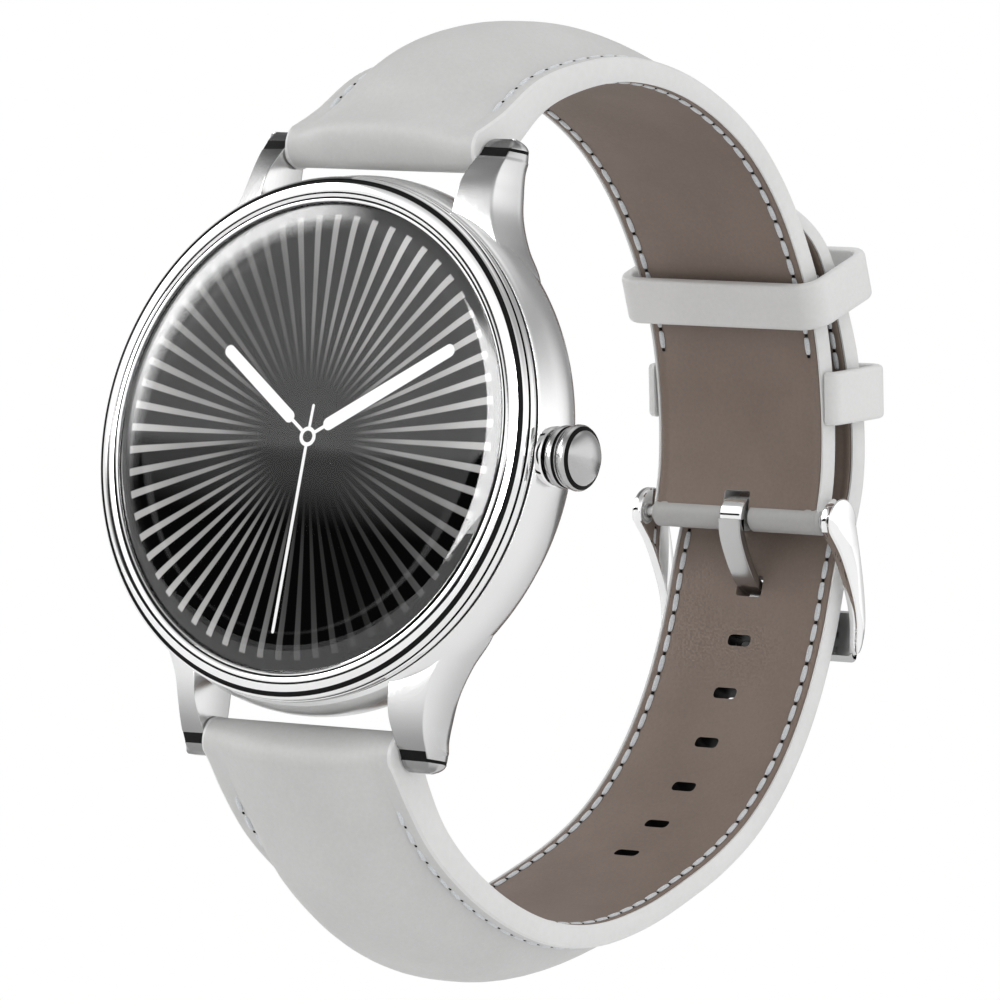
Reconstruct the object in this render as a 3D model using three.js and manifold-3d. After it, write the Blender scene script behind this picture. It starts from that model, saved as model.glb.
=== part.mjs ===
// Smartwatch: round steel case with four lugs and a crown, on a two-piece leather strap that is buckled shut.
// Millimetres. +X points to 3 o'clock (the crown side), +Z to 12 o'clock and +Y to the wrist.
// The origin is the middle of the flat sensor window, where the case rests on the wrist.
// Depths are measured from the front of the cover glass towards the wrist.
import * as THREE from 'three';
import { mergeVertices } from 'three/addons/utils/BufferGeometryUtils.js';
import Module from 'manifold-3d';

const wasm = await Module();
wasm.setup();

// ---- Driving dimensions ----
const THICKNESS = 10.8; // cover glass front to sensor window
const CASE_R = 22.7; // fullest part of the flank
const WALL_R = 19.6; // inside of the mid case
const BEZEL_R = 22;
const GLASS_R = 19.7;
const GLASS_REAR = 1.35;
const SEAT = 2.2; // plane between bezel and mid case
const REAR = 9.2; // rear face of the mid case
const COVER_FACE = 10.35; // rear face of the back cover
const WINDOW_R = 12;
const BOARD_FACE = 7.2; // front face of the main board
const FIT = 0.05; // play between parts that are glued, screwed or pressed together

const LUG_INNER_X = 10.1;
const LUG_TIP_Z = 26.5;
const SPRING_BAR = { depth: 6.4, z: 25.6, radius: 0.75, pin: 0.45, reach: 11.7, end: 9.7 };
const RELEASE_X = 7.3; // quick-release lever at rest
const RELEASE_TRAVEL = 1.3;

const CROWN_DEPTH = 4.2;
const CROWN_BASE_X = 23.05; // inner face of the knob
const CROWN_R = 2.75;
const STEM_R = 0.72;
const SWITCH_X = 16.2; // contact face of the crown switch
const SWITCH_GAP = 0.35; // crown press travel and a little spare

const STRAP_HALF = 9.95; // half width at the lugs
const STRAP_TAPER = 0.0198; // half width lost for each millimetre towards the buckle
const LINING = 0.8;
const ROLL_R = 1.9; // leather rolled round the spring bar
const BUCKLE = { y: 52.9, z: 3.4, bar: 0.7, wrap: 1.25, eye: 1.8 };
const HOLE = { pitch: 5, count: 7, width: 2.3, height: 1 };
const USED_HOLE = { y: 56.8, z: -2.4, width: 2.9, height: 1.9 };
const KEEPER_WALL = 1;

const ROUND = 48; // facets round the case
const SMALL_ROUND = 20;

// ---- Solids ----
function solid(geometry) {
  const bare = geometry.clone();
  bare.deleteAttribute('normal');
  bare.deleteAttribute('uv');
  const merged = mergeVertices(bare, 1e-4);
  return new wasm.Manifold(new wasm.Mesh({
    numProp: 3,
    vertProperties: merged.attributes.position.array,
    triVerts: new Uint32Array(merged.index.array),
  }));
}

function geometryOf(manifold) {
  const mesh = manifold.getMesh();
  return new THREE.BufferGeometry()
    .setAttribute('position', new THREE.BufferAttribute(mesh.vertProperties, 3))
    .setIndex(new THREE.BufferAttribute(mesh.triVerts, 1));
}

const depth = (d) => d - THICKNESS; // y of a plane at depth d

// A body of revolution about the case's axis, from [radius, depth] points that run outwards, back and in.
function turned(profile, segments = ROUND) {
  const points = profile.map(([r, d]) => new THREE.Vector2(r, depth(d)));
  return solid(new THREE.LatheGeometry(points, segments));
}

// The same, for a ring whose section closes on itself.
const ring = (profile, segments) => turned([...profile, profile[0]], segments);

// A body of revolution about an axis along X through (y, z), from [x, radius] points in rising x.
function turnedAlongX(profile, y, z, segments = SMALL_ROUND) {
  const points = profile.map(([x, r]) => new THREE.Vector2(r, x));
  const geometry = new THREE.LatheGeometry(points, segments);
  geometry.rotateZ(-Math.PI / 2).translate(0, y, z);
  return solid(geometry);
}

const rod = (x0, x1, radius, y, z, segments) =>
  turnedAlongX([[x0, 0], [x0, radius], [x1, radius], [x1, 0]], y, z, segments);

function block(x, y, z) {
  const size = [x, y, z].map(([low, high]) => high - low);
  const geometry = new THREE.BoxGeometry(...size);
  geometry.translate(...[x, y, z].map(([low, high]) => (low + high) / 2));
  return solid(geometry);
}

// A disc or pin parallel to the case's axis, standing at (x, z).
function post(x, z, radius, from, to, segments = 12) {
  const geometry = new THREE.CylinderGeometry(radius, radius, to - from, segments);
  geometry.translate(x, depth((from + to) / 2), z);
  return solid(geometry);
}

// An outline in the YZ plane, extruded across X.
function acrossX(shape, x0, x1) {
  const geometry = new THREE.ExtrudeGeometry(shape, { depth: x1 - x0, bevelEnabled: false, curveSegments: 3 });
  geometry.applyMatrix4(new THREE.Matrix4().makeBasis(
    new THREE.Vector3(0, 1, 0), new THREE.Vector3(0, 0, 1), new THREE.Vector3(1, 0, 0)));
  geometry.translate(x0, 0, 0);
  return solid(geometry);
}

// A skin through rings of points, closed at each end by a fan to that ring's middle.
function loft(rings) {
  const sides = rings[0].length;
  const middle = (points) => points.reduce((sum, p) => sum.add(p), new THREE.Vector3()).divideScalar(sides);
  const points = [middle(rings[0]), ...rings.flat(), middle(rings.at(-1))];
  const last = points.length - 1;
  const index = [];
  for (let i = 0; i < sides; i++) {
    const j = (i + 1) % sides;
    index.push(0, 1 + j, 1 + i);
    for (let k = 0; k < rings.length - 1; k++) {
      const a = 1 + k * sides;
      const b = a + sides;
      index.push(a + i, a + j, b + j, a + i, b + j, b + i);
    }
    index.push(last, last - sides + i, last - sides + j);
  }
  return solid(new THREE.BufferGeometry().setFromPoints(points).setIndex(index));
}

// ---- Finishes ----
const FINISHES = {
  polishedSteel: { color: 0xdcdddd, roughness: 0.06, metalness: 1 },
  satinSteel: { color: 0xc9c9c8, roughness: 0.28, metalness: 1 },
  glass: { color: 0x0e1012, roughness: 0.03, metalness: 0 },
  display: { color: 0x2a2b2d, roughness: 0.2, metalness: 0 },
  leather: { color: 0xd0d0ce, roughness: 0.55, metalness: 0 },
  lining: { color: 0x74665d, roughness: 0.75, metalness: 0 },
  plastic: { color: 0x2b2c2e, roughness: 0.5, metalness: 0 },
  board: { color: 0x1f4a33, roughness: 0.5, metalness: 0 },
  rubber: { color: 0x1b1b1c, roughness: 0.8, metalness: 0 },
  gold: { color: 0xd8b36a, roughness: 0.2, metalness: 1 },
};

const watch = new THREE.Group();

function add(name, finish, body) {
  const mesh = new THREE.Mesh(geometryOf(body), new THREE.MeshStandardMaterial(FINISHES[finish]));
  mesh.name = name;
  watch.add(mesh);
}

// ---- Case ----

// One lug at +X +Z. Its front face leans back from the inner edge to the outer one and curves down to the tip.
function lug() {
  const sections = [
    { z: 15, front: 2.6, outerFront: 3.2, outer: 16.8, rear: 7 },
    { z: 17.5, front: 2.4, outerFront: 3.3, outer: 15, rear: 7.4 },
    { z: 20, front: 2.3, outerFront: 3.6, outer: 13.8, rear: 7.7 },
    { z: 22.2, front: 2.8, outerFront: 4, outer: 13.4, rear: 7.8 },
    { z: 23.7, front: 3.8, outerFront: 4.5, outer: 13.3, rear: 7.8 },
    { z: 25, front: 4.9, outerFront: 5.2, outer: 13.3, rear: 8 },
    { z: 25.9, front: 5.6, outerFront: 5.8, outer: 13.2, rear: 7.8 },
    { z: LUG_TIP_Z, front: 6.3, outerFront: 6.3, outer: 12.8, rear: 7.1 },
  ];
  return loft(sections.map(({ z, front, outerFront, outer, rear }) => [
    new THREE.Vector3(LUG_INNER_X, depth(front), z),
    new THREE.Vector3(outer - 0.6, depth(outerFront), z),
    new THREE.Vector3(outer + 0.2, depth(rear - 1), z),
    new THREE.Vector3(outer - 0.2, depth(rear), z),
    new THREE.Vector3(LUG_INNER_X, depth(rear), z),
  ]));
}

function midCase() {
  let body = ring([[WALL_R, SEAT], [21.9, SEAT], [22.3, 2.7], [22.6, 3.6], [CASE_R, 4.8],
    [22.6, 5.9], [22.2, 7], [21.6, 7.9], [20.9, 8.8], [20.6, REAR], [WALL_R, REAR]]);
  const corner = lug();
  for (const sideX of [1, -1]) {
    for (const sideZ of [1, -1]) body = body.add(corner.scale([sideX, 1, sideZ]));
  }
  body = body.subtract(turned([[0, 1], [WALL_R, 1], [WALL_R, 10], [0, 10]]));
  for (const side of [1, -1]) {
    const y = depth(SPRING_BAR.depth);
    body = body.subtract(rod(-12, 12, SPRING_BAR.pin + FIT, y, side * SPRING_BAR.z, 12));
  }
  const crownY = depth(CROWN_DEPTH);
  return body
    .subtract(rod(WALL_R - 1, 24, 1.3 + FIT, crownY, 0))
    .subtract(rod(22.15, 24, 2.5 + FIT, crownY, 0));
}

function bezel() {
  return ring([[19.8, 0.05], [20.4, 0.1], [21.7, 0.1], [BEZEL_R, 0.35], [BEZEL_R, 1], [21.8, 1.1],
    [BEZEL_R, 1.3], [BEZEL_R, SEAT - 0.15], [21.85, SEAT], [19.1, SEAT], [19.1, 1.6], [19.8, 1.6]]);
}

const SCREW_R = 18.4; // distance of the back screws from the axis
const screwPlaces = [45, 135, 225, 315].map((degrees) => {
  const angle = THREE.MathUtils.degToRad(degrees);
  return [SCREW_R * Math.cos(angle), SCREW_R * Math.sin(angle)];
});
const CONTACTS = [[-1.5, -16], [1.5, -16]];

function backCover() {
  let body = ring([[11, 8.9], [19.5, 8.9], [19.5, 9.5], [20.4, 9.5], [20.1, 10.1], [19.6, COVER_FACE],
    [WINDOW_R + FIT, COVER_FACE], [WINDOW_R + FIT, 9.7], [11, 9.7]]);
  for (const [x, z] of screwPlaces) {
    body = body.subtract(post(x, z, 0.55, 8, 11)).subtract(post(x, z, 1.05, 9.75, 11));
  }
  for (const [x, z] of CONTACTS) body = body.subtract(post(x, z, 0.8 + FIT, 8, 11));
  return body;
}

function innerFrame() {
  let body = ring([[17.6, 2.4], [19.4, 2.4], [19.4, 8.8], [17.6, 8.8]]);
  body = body.subtract(block([15, 21], [depth(2), depth(6.4)], [-2.6, 2.6]));
  for (const [x, z] of screwPlaces) body = body.subtract(post(x, z, 0.5, 5.5, 9));
  return body;
}

function addCase() {
  add('mid_case', 'satinSteel', midCase());
  add('bezel_ring', 'polishedSteel', bezel());
  add('cover_glass', 'glass', turned([[0, 0], [19.4, 0], [GLASS_R, 0.3], [GLASS_R, GLASS_REAR], [0, GLASS_REAR]]));
  add('glass_gasket', 'rubber', ring([[19.15, GLASS_REAR], [19.65, GLASS_REAR], [19.65, 1.6], [19.15, 1.6]]));
  add('display_panel', 'display', turned([[0, GLASS_REAR], [19, GLASS_REAR], [19, 2.3], [0, 2.3]]));
  add('display_flex', 'board', block([-3.5, 3.5], [depth(2.3), depth(BOARD_FACE)], [16.6, 16.9]));
  add('inner_frame', 'plastic', innerFrame());
  add('battery', 'satinSteel', turned([[0, 3], [12, 3], [12.5, 3.4], [12.5, 6.4], [12, 6.8], [0, 6.8]], 32));
  add('vibration_motor', 'satinSteel', rod(-4, 4, 1.6, depth(5), -15.2, 16));
  add('main_board', 'board', turned([[0, BOARD_FACE], [17.4, BOARD_FACE], [17.4, 7.9], [0, 7.9]], 32));
  add('processor_shield', 'satinSteel', block([-6, 6], [depth(7.9), depth(8.8)], [10.8, 16]));
  add('sensor_board', 'board', turned([[0, 8.2], [10, 8.2], [10, 8.85], [0, 8.85]], 32));
  add('back_gasket', 'rubber', ring([[19.7, REAR], [20.2, REAR], [20.2, 9.5], [19.7, 9.5]]));
  add('back_cover', 'satinSteel', backCover());
  add('sensor_window', 'glass', turned([[0, 9.75], [WINDOW_R, 9.75], [WINDOW_R, 10.2], [11.2, 10.5],
    [9, THICKNESS], [0, THICKNESS]]));
  screwPlaces.forEach(([x, z], i) => {
    add(`back_screw_${i + 1}`, 'satinSteel', post(x, z, 0.45, 6, 9.8, 10).add(post(x, z, 1, 9.8, COVER_FACE, 14)));
  });
  CONTACTS.forEach(([x, z], i) => add(`charge_contact_${i + 1}`, 'gold', post(x, z, 0.8, 8.6, 10.45)));
}

// ---- Crown ----
function addCrown() {
  const y = depth(CROWN_DEPTH);
  const alongCrown = (profile) => turnedAlongX(profile, y, 0, 24);
  add('crown_tube', 'polishedSteel', alongCrown([[19.7, 1.15], [19.7, 1.3], [22.2, 1.3], [22.2, 2.5], [22.75, 2.4],
    [22.75, 0.85], [21.9, 0.85], [21.9, 1.15], [19.7, 1.15]]));
  add('crown_seal', 'rubber', alongCrown([[21.1, 0.77], [21.1, 1.1], [21.7, 1.1], [21.7, 0.77], [21.1, 0.77]]));
  add('crown_knob', 'polishedSteel', alongCrown([[24.3, 0], [24.3, STEM_R + FIT], [CROWN_BASE_X, STEM_R + FIT],
    [CROWN_BASE_X, 2.3], [23.35, 2.6], [23.85, 2.6], [24.05, 2.42], [24.3, 2.65], [24.7, CROWN_R],
    [25.15, 2.6], [25.7, 2.1], [26.05, 1.2], [26.15, 0]]));
  add('crown_stem', 'satinSteel', alongCrown([[17.6, 0], [17.6, STEM_R], [24.2, STEM_R], [24.2, 0]]));
  add('crown_clip', 'satinSteel', alongCrown([[18.9, 0.77], [18.9, 1.5], [19.2, 1.5], [19.2, 0.77], [18.9, 0.77]]));
  add('crown_plunger', 'plastic', rod(SWITCH_X + SWITCH_GAP, 17.55, 1.1, y, 0, 16));
  add('crown_switch', 'plastic', block([14.9, SWITCH_X], [y - 1.3, y + 1.3], [-1.3, 1.3]));
  add('switch_board', 'board', block([14.5, 14.9], [depth(2.6), depth(BOARD_FACE)], [-4, 4]));
}

// ---- Strap ----
// Each half's inner face follows a curve in the YZ plane, from the spring bar to its far end.
const curveThrough = (points) =>
  new THREE.CatmullRomCurve3(points.map(([y, z]) => new THREE.Vector3(0, y, z)), false, 'centripetal');

const UPPER = {
  side: 1,
  steps: 28,
  curve: curveThrough([[-2.9, 23.95], [-0.6, 26.4], [3, 30.3], [8, 33], [14, 34.9], [20.5, 35.5], [27, 34.8],
    [33.6, 32.7], [39, 29.4], [43.6, 25], [47.6, 19.6], [50.4, 13], [51.7, 7.5], [51.85, 4]]),
  thickness: (f) => 2.05 + 2.15 * Math.exp(-f / 0.1),
};
const LOWER = {
  side: -1,
  steps: 40,
  curve: curveThrough([[-2.9, -23.95], [-0.8, -27], [2.5, -30.3], [7.9, -33.3], [14.3, -35.3], [20.5, -36],
    [26.8, -35.3], [33.4, -33], [39, -30], [43.4, -27.2], [47.2, -24], [50.2, -20.3], [52.5, -16.2],
    [54.2, -11.5], [55.3, -6], [55.7, -1], [56.2, 3.5], [56.5, 7.7], [55.6, 12], [53.4, 17.2], [51.2, 20.9],
    [48.8, 23.9], [46.2, 26.8], [44, 29.3], [42.9, 31]]),
  thickness: (f) => 2.05 + 2.15 * Math.exp(-f / 0.06) - Math.max(0, f - 0.86) * 6,
};

const halfWidth = (y) => STRAP_HALF - STRAP_TAPER * Math.max(0, y);

// Place, run direction and outward direction of the strap at arc fraction f.
function station({ curve, side }, f) {
  const at = curve.getPointAt(f);
  const along = curve.getTangentAt(f);
  const out = new THREE.Vector3(0, -along.z * side, along.y * side);
  return { at, along, out };
}

// A layer of the strap between two distances from the inner face, crowned by a height in the middle.
function layer(half, { first, last, low, high, crown, width }) {
  const rings = [];
  for (let i = first; i <= last; i++) {
    const f = i / half.steps;
    const { at, out } = station(half, f);
    const w = width(at.y, f);
    const point = (x, t) => at.clone().addScaledVector(out, t).setX(x * w);
    const outer = [1, 0.87, 0.5, 0, -0.5, -0.87, -1].map((x) => point(x, high(f) + crown(f) * (1 - x ** 4)));
    const section = [point(-1, low(f)), point(1, low(f)), ...outer];
    rings.push(half.side > 0 ? section.reverse() : section);
  }
  return loft(rings);
}

// A cut along the normal of the strap, or a solid on it: x and run are the sizes across and along the strap.
function normalBlock(half, f, x, run, low, high) {
  const { at, along, out } = station(half, f);
  const across = new THREE.Vector3().crossVectors(along, out);
  const geometry = new THREE.BoxGeometry(x, run, high - low);
  geometry.translate(0, 0, (low + high) / 2);
  geometry.applyMatrix4(new THREE.Matrix4().makeBasis(across, along, out).setPosition(at));
  return solid(geometry);
}

// Notch for the quick-release lever: it opens from the spring bar towards the wrist.
function releaseNotch(side) {
  const geometry = new THREE.BoxGeometry(4, 2.4, 6);
  geometry.translate(RELEASE_X - RELEASE_TRAVEL / 2, 0, -3 * side);
  geometry.rotateX(side * Math.PI / 4);
  geometry.translate(0, depth(SPRING_BAR.depth), side * SPRING_BAR.z);
  return solid(geometry);
}

function strapHalf(name, half, { width, crown, cut, wrap }) {
  const barY = depth(SPRING_BAR.depth);
  const barZ = half.side * SPRING_BAR.z;
  const { steps, thickness } = half;
  let leather = layer(half, { first: 0, last: steps, low: () => LINING + FIT, high: thickness, crown, width });
  leather = leather.add(rod(-STRAP_HALF, STRAP_HALF, ROLL_R, barY, barZ, 24));
  if (wrap) leather = leather.add(wrap.leather);
  leather = leather.subtract(rod(-11, 11, SPRING_BAR.radius + 0.2, barY, barZ, 16));
  let lining = layer(half, { first: 1, last: steps, low: () => 0, high: () => LINING, crown: () => 0, width });
  lining = lining.subtract(rod(-11, 11, ROLL_R + FIT, barY, barZ, 24));
  if (wrap) lining = lining.subtract(wrap.space);
  for (const cutter of [releaseNotch(half.side), ...cut]) {
    leather = leather.subtract(cutter);
    lining = lining.subtract(cutter);
  }
  add(`${name}_leather`, 'leather', leather);
  add(`${name}_lining`, 'lining', lining);
}

function addUpperStrap() {
  const { y, z, bar, wrap, eye } = BUCKLE;
  const end = halfWidth(y);
  const tongueSlot = block([-1.6, 1.6], [y - 4, y + 4], [z - 3, z + eye + 0.5]);
  strapHalf('upper_strap', UPPER, {
    crown: (f) => 0.3 + 2.6 * Math.exp(-(((f - 0.17) / 0.26) ** 2)),
    width: halfWidth,
    wrap: { leather: rod(-end, end, wrap, y, z, 16), space: rod(-11, 11, wrap + FIT, y, z, 16) },
    cut: [rod(-11, 11, bar + 0.12, y, z, 12), tongueSlot],
  });
}

// Arc fraction of the lower strap nearest to the hole that the tongue is in.
function usedHoleFraction() {
  const hole = new THREE.Vector3(0, USED_HOLE.y - 1.2, USED_HOLE.z);
  let best = 0;
  for (let f = 0; f <= 1; f += 0.001) {
    const nearer = LOWER.curve.getPointAt(f).distanceTo(hole) < LOWER.curve.getPointAt(best).distanceTo(hole);
    if (nearer) best = f;
  }
  return best;
}

function addLowerStrap() {
  const used = usedHoleFraction();
  const pitch = HOLE.pitch / LOWER.curve.getLength();
  const holes = [normalBlock(LOWER, used, USED_HOLE.width, USED_HOLE.height, -1, 5)];
  for (let i = 1; i < HOLE.count; i++) {
    holes.push(normalBlock(LOWER, used - i * pitch, HOLE.width, HOLE.height, -1, 5));
  }
  const TIP = 0.94; // where the tail's end starts to round off
  const width = (y, f) => {
    const past = Math.max(0, (f - TIP) / (1 - TIP));
    return halfWidth(y) * (0.2 + 0.8 * Math.sqrt(1 - past * past));
  };
  strapHalf('lower_strap', LOWER, {
    crown: (f) => 0.3 * (1 - f) + 3.9 * Math.exp(-(((f - 0.13) / 0.17) ** 2)),
    width,
    cut: holes,
  });
}

// A spring bar: tube with one fixed pin, and a second pin that a lever draws in.
function addSpringBar(name, side) {
  const y = depth(SPRING_BAR.depth);
  const z = side * SPRING_BAR.z;
  const { radius, pin, reach, end } = SPRING_BAR;
  const tilt = (geometry) => geometry.rotateX(side * Math.PI / 4).translate(0, y, z);
  const slot = new THREE.BoxGeometry(RELEASE_TRAVEL + 1.2, 0.9, 3);
  slot.translate(RELEASE_X - RELEASE_TRAVEL / 2, 0, -1.5 * side);
  const tube = rod(-end, end, radius, y, z, 14)
    .add(rod(-reach, -end + 0.5, pin, y, z, 12))
    .subtract(rod(4.5, 11, pin + FIT, y, z, 12))
    .subtract(solid(tilt(slot)));
  add(`${name}_bar`, 'satinSteel', tube);
  const lever = new THREE.CylinderGeometry(0.35, 0.35, 2.7, 10);
  lever.rotateX(Math.PI / 2).translate(RELEASE_X, 0, -1.35 * side);
  add(`${name}_release_pin`, 'satinSteel',
    rod(RELEASE_X - 0.9, reach, pin, y, z, 12).add(solid(tilt(lever))));
}

// ---- Keepers ----
function roundedRectangle(halfX, low, high, radius) {
  const path = new THREE.Shape();
  path.moveTo(halfX - radius, low);
  path.absarc(halfX - radius, low + radius, radius, -Math.PI / 2, 0, false);
  path.absarc(halfX - radius, high - radius, radius, 0, Math.PI / 2, false);
  path.absarc(radius - halfX, high - radius, radius, Math.PI / 2, Math.PI, false);
  path.absarc(radius - halfX, low + radius, radius, Math.PI, 1.5 * Math.PI, false);
  path.closePath();
  return path;
}

// A band whose opening is turned by an angle about X: its section lies across the strap.
function keeperBand(outline, hole, { length, angle, y, z }) {
  outline.holes.push(hole);
  const geometry = new THREE.ExtrudeGeometry(outline,
    { depth: length, bevelEnabled: false, curveSegments: 4 });
  geometry.translate(0, 0, -length / 2).rotateX(angle).translate(0, y, z);
  return solid(geometry);
}

function addKeepers() {
  const wall = KEEPER_WALL;
  const sliding = { y: 45.15, z: 21.1, angle: THREE.MathUtils.degToRad(31), length: 4.2, deep: 10.2, half: 10.75 };
  add('sliding_keeper', 'leather', keeperBand(
    roundedRectangle(sliding.half, -0.55, sliding.deep - 0.55, 1.6),
    roundedRectangle(sliding.half - wall, wall - 0.55, sliding.deep - wall - 0.55, 0.7),
    sliding));

  const sewn = { y: 50.1, z: 13.8, angle: THREE.MathUtils.degToRad(15), length: 4.7, deep: 9.2, half: 10.25 };
  const loop = keeperBand(
    roundedRectangle(sewn.half, -3, sewn.deep, 1.4),
    roundedRectangle(sewn.half - wall, -2, sewn.deep - wall, 0.6),
    sewn);
  const hidden = new THREE.BoxGeometry(30, 5, 12);
  hidden.translate(0, -2.5, 0).rotateX(sewn.angle).translate(0, sewn.y, sewn.z);
  add('sewn_keeper', 'leather', loop.subtract(solid(hidden)));
}

// ---- Buckle ----

// A strip of even thickness along a curve through [y, z] points, as an outline.
function strip(points, thickness, steps) {
  const curve = new THREE.SplineCurve(points.map(([y, z]) => new THREE.Vector2(y, z)));
  const edge = (side) => Array.from({ length: steps + 1 }, (_, i) => {
    const tangent = curve.getTangentAt(i / steps);
    const offset = new THREE.Vector2(-tangent.y, tangent.x).multiplyScalar(side * thickness / 2);
    return curve.getPointAt(i / steps).add(offset);
  });
  return new THREE.Shape([...edge(-1), ...edge(1).reverse()]);
}

const ARM = { inner: 9.65, outer: 10.65, head: 2.15 };

function buckleArm() {
  const arm = new THREE.Shape();
  arm.moveTo(51.5, 2.2);
  arm.splineThru([[53.9, 0.3], [56.4, -2.7], [57.5, -4.8], [57.9, -6.8]].map((p) => new THREE.Vector2(...p)));
  arm.splineThru([[58.2, -7.6], [58.8, -6.9], [58.9, -4.8], [58.1, -2.1], [56.8, 0.9], [55.4, 3.7]]
    .map((p) => new THREE.Vector2(...p)));
  arm.absarc(53.25, BUCKLE.z, ARM.head, 0.1, Math.PI * 1.18, false);
  return arm;
}

function addBuckle() {
  const { y, z, bar, eye } = BUCKLE;
  const pin = 0.45;
  const farPlate = strip([[58.7, -3.8], [59.1, -5.2], [58.9, -6.9], [58.3, -8]], 1.1, 5);
  let frame = acrossX(farPlate, -ARM.outer + FIT, ARM.outer - FIT);
  for (const [x0, x1] of [[ARM.inner, ARM.outer], [-ARM.outer, -ARM.inner]]) {
    frame = frame.add(acrossX(buckleArm(), x0, x1));
  }
  frame = frame.subtract(rod(-10.4, 10.4, pin + FIT, y, z, 12));
  add('buckle_frame', 'polishedSteel', frame);

  add('buckle_bar', 'satinSteel', rod(-9.3, 9.3, bar, y, z, 12).add(rod(-10.3, 10.3, pin, y, z, 12)));

  const tongue = strip([[51.4, 3], [52, 1.4], [53.6, -0.6], [55.3, -2.1], [57.2, -2.7], [59.3, -2.7],
    [60.7, -3.5], [61, -5]], 0.8, 14);
  add('buckle_tongue', 'polishedSteel', acrossX(tongue, -1.15, 1.15)
    .add(rod(-1.15, 1.15, eye, y, z, 20))
    .subtract(rod(-2, 2, bar + 0.1, y, z, 12)));
}

addCase();
addCrown();
addUpperStrap();
addLowerStrap();
addSpringBar('upper', 1);
addSpringBar('lower', -1);
addKeepers();
addBuckle();

export default watch;
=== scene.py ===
"""Smartwatch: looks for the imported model. Sizes are in millimetres and become metres through MM."""
import math

import bmesh
import bpy
import numpy as np
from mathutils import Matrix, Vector


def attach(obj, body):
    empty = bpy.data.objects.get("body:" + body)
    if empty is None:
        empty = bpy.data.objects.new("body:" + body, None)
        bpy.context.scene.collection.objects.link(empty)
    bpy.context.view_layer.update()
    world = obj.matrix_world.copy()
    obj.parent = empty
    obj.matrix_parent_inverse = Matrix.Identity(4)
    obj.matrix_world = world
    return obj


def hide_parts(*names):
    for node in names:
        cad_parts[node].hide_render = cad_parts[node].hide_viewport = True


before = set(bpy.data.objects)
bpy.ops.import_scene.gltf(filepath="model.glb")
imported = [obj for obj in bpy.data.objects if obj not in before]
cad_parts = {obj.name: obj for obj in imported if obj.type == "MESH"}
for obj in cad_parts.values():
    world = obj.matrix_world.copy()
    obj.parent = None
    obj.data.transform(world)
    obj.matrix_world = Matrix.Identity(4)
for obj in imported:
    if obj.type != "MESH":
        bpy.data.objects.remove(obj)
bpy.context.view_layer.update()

MM = 0.001

# ---- Driving dimensions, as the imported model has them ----
THICKNESS = 10.8  # cover glass front to sensor window
ROLL_R = 1.9  # leather rolled round the spring bar
CROWN_Y = -6.6
STRAP_HALF, STRAP_TAPER = 9.95, 0.0198  # half width at the lugs, and what a millimetre of depth takes off it
CURVE_STEPS = 1200  # even steps along each strap half
BAR_Y, BAR_Z, BAR_WRAP, EYE_R = 52.9, 3.4, 1.25, 1.8  # buckle bar, leather round it, tongue loop
ARM_INNER, ARM_OUTER, ARM_HEAD = 9.65, 10.65, 2.15  # buckle arm: x of its two faces, radius of its head
TONGUE_HALF = 1.15
NOTCH_HALF = 1.35  # half width of the gap that the tongue's loop sits in
HOLE_PITCH, HOLE_COUNT = 5, 7
USED_HOLE = (55.6, -2.4)  # y, z of the hole that the tongue is in
LUG_INNER_X = 10.1
TIP = 0.94  # arc fraction where the tail's end starts to round off


# ---- Mesh helpers ----
def make_piece(name, points, faces, material, body, replaced=(), sharp=40, marks=None):
    """A shaded mesh from points in millimetres, riding on a body. Marked faces get the second material."""
    mesh = bpy.data.meshes.new(name)
    mesh.from_pydata([tuple(c * MM for c in p) for p in points], [], faces)
    if marks:
        mesh.polygons.foreach_set("material_index", [int(mark) for mark in marks])
    shell = bmesh.new()
    shell.from_mesh(mesh)
    bmesh.ops.remove_doubles(shell, verts=shell.verts, dist=1e-7)
    bmesh.ops.recalc_face_normals(shell, faces=shell.faces)
    shell.to_mesh(mesh)
    shell.free()
    mesh.shade_smooth()
    mesh.set_sharp_from_angle(angle=math.radians(sharp))
    piece = bpy.data.objects.new(name, mesh)
    bpy.context.scene.collection.objects.link(piece)
    for each in material if isinstance(material, (list, tuple)) else [material]:
        mesh.materials.append(each)
    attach(piece, body)
    if replaced:
        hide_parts(*replaced)
    return piece


def grid_faces(rows, columns, closed_rows=False, closed_columns=False, start=0):
    """Quads over a grid of points stored row by row."""
    faces = []
    for i in range(rows if closed_rows else rows - 1):
        for j in range(columns if closed_columns else columns - 1):
            a, b = i, (i + 1) % rows
            c, d = j, (j + 1) % columns
            faces.append([start + a * columns + c, start + a * columns + d,
                          start + b * columns + d, start + b * columns + c])
    return faces


def lathe(profile, place, segments=192, closed=True):
    """A body of revolution: place(r, height, angle) puts a profile point."""
    points = [place(r, h, 2 * math.pi * k / segments) for k in range(segments) for r, h in profile]
    return points, grid_faces(segments, len(profile), closed_rows=True, closed_columns=closed)


def about_case_axis(profile, segments=192, closed=True):
    """Revolves [radius, depth] points about the case's axis."""
    def place(r, d, angle):
        return (r * math.sin(angle), d - THICKNESS, r * math.cos(angle))
    return lathe(profile, place, segments, closed)


def about_x(profile, y, z, segments=64, closed=True):
    """Revolves [x, radius] points about an axis along X through (y, z)."""
    def place(x, r, angle):
        return (x, y + r * math.sin(angle), z + r * math.cos(angle))
    return lathe(profile, place, segments, closed)


def joined(*parts):
    """Several (points, faces) as one."""
    points, faces = [], []
    for more_points, more_faces in parts:
        faces += [[i + len(points) for i in face] for face in more_faces]
        points += list(more_points)
    return points, faces


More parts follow.
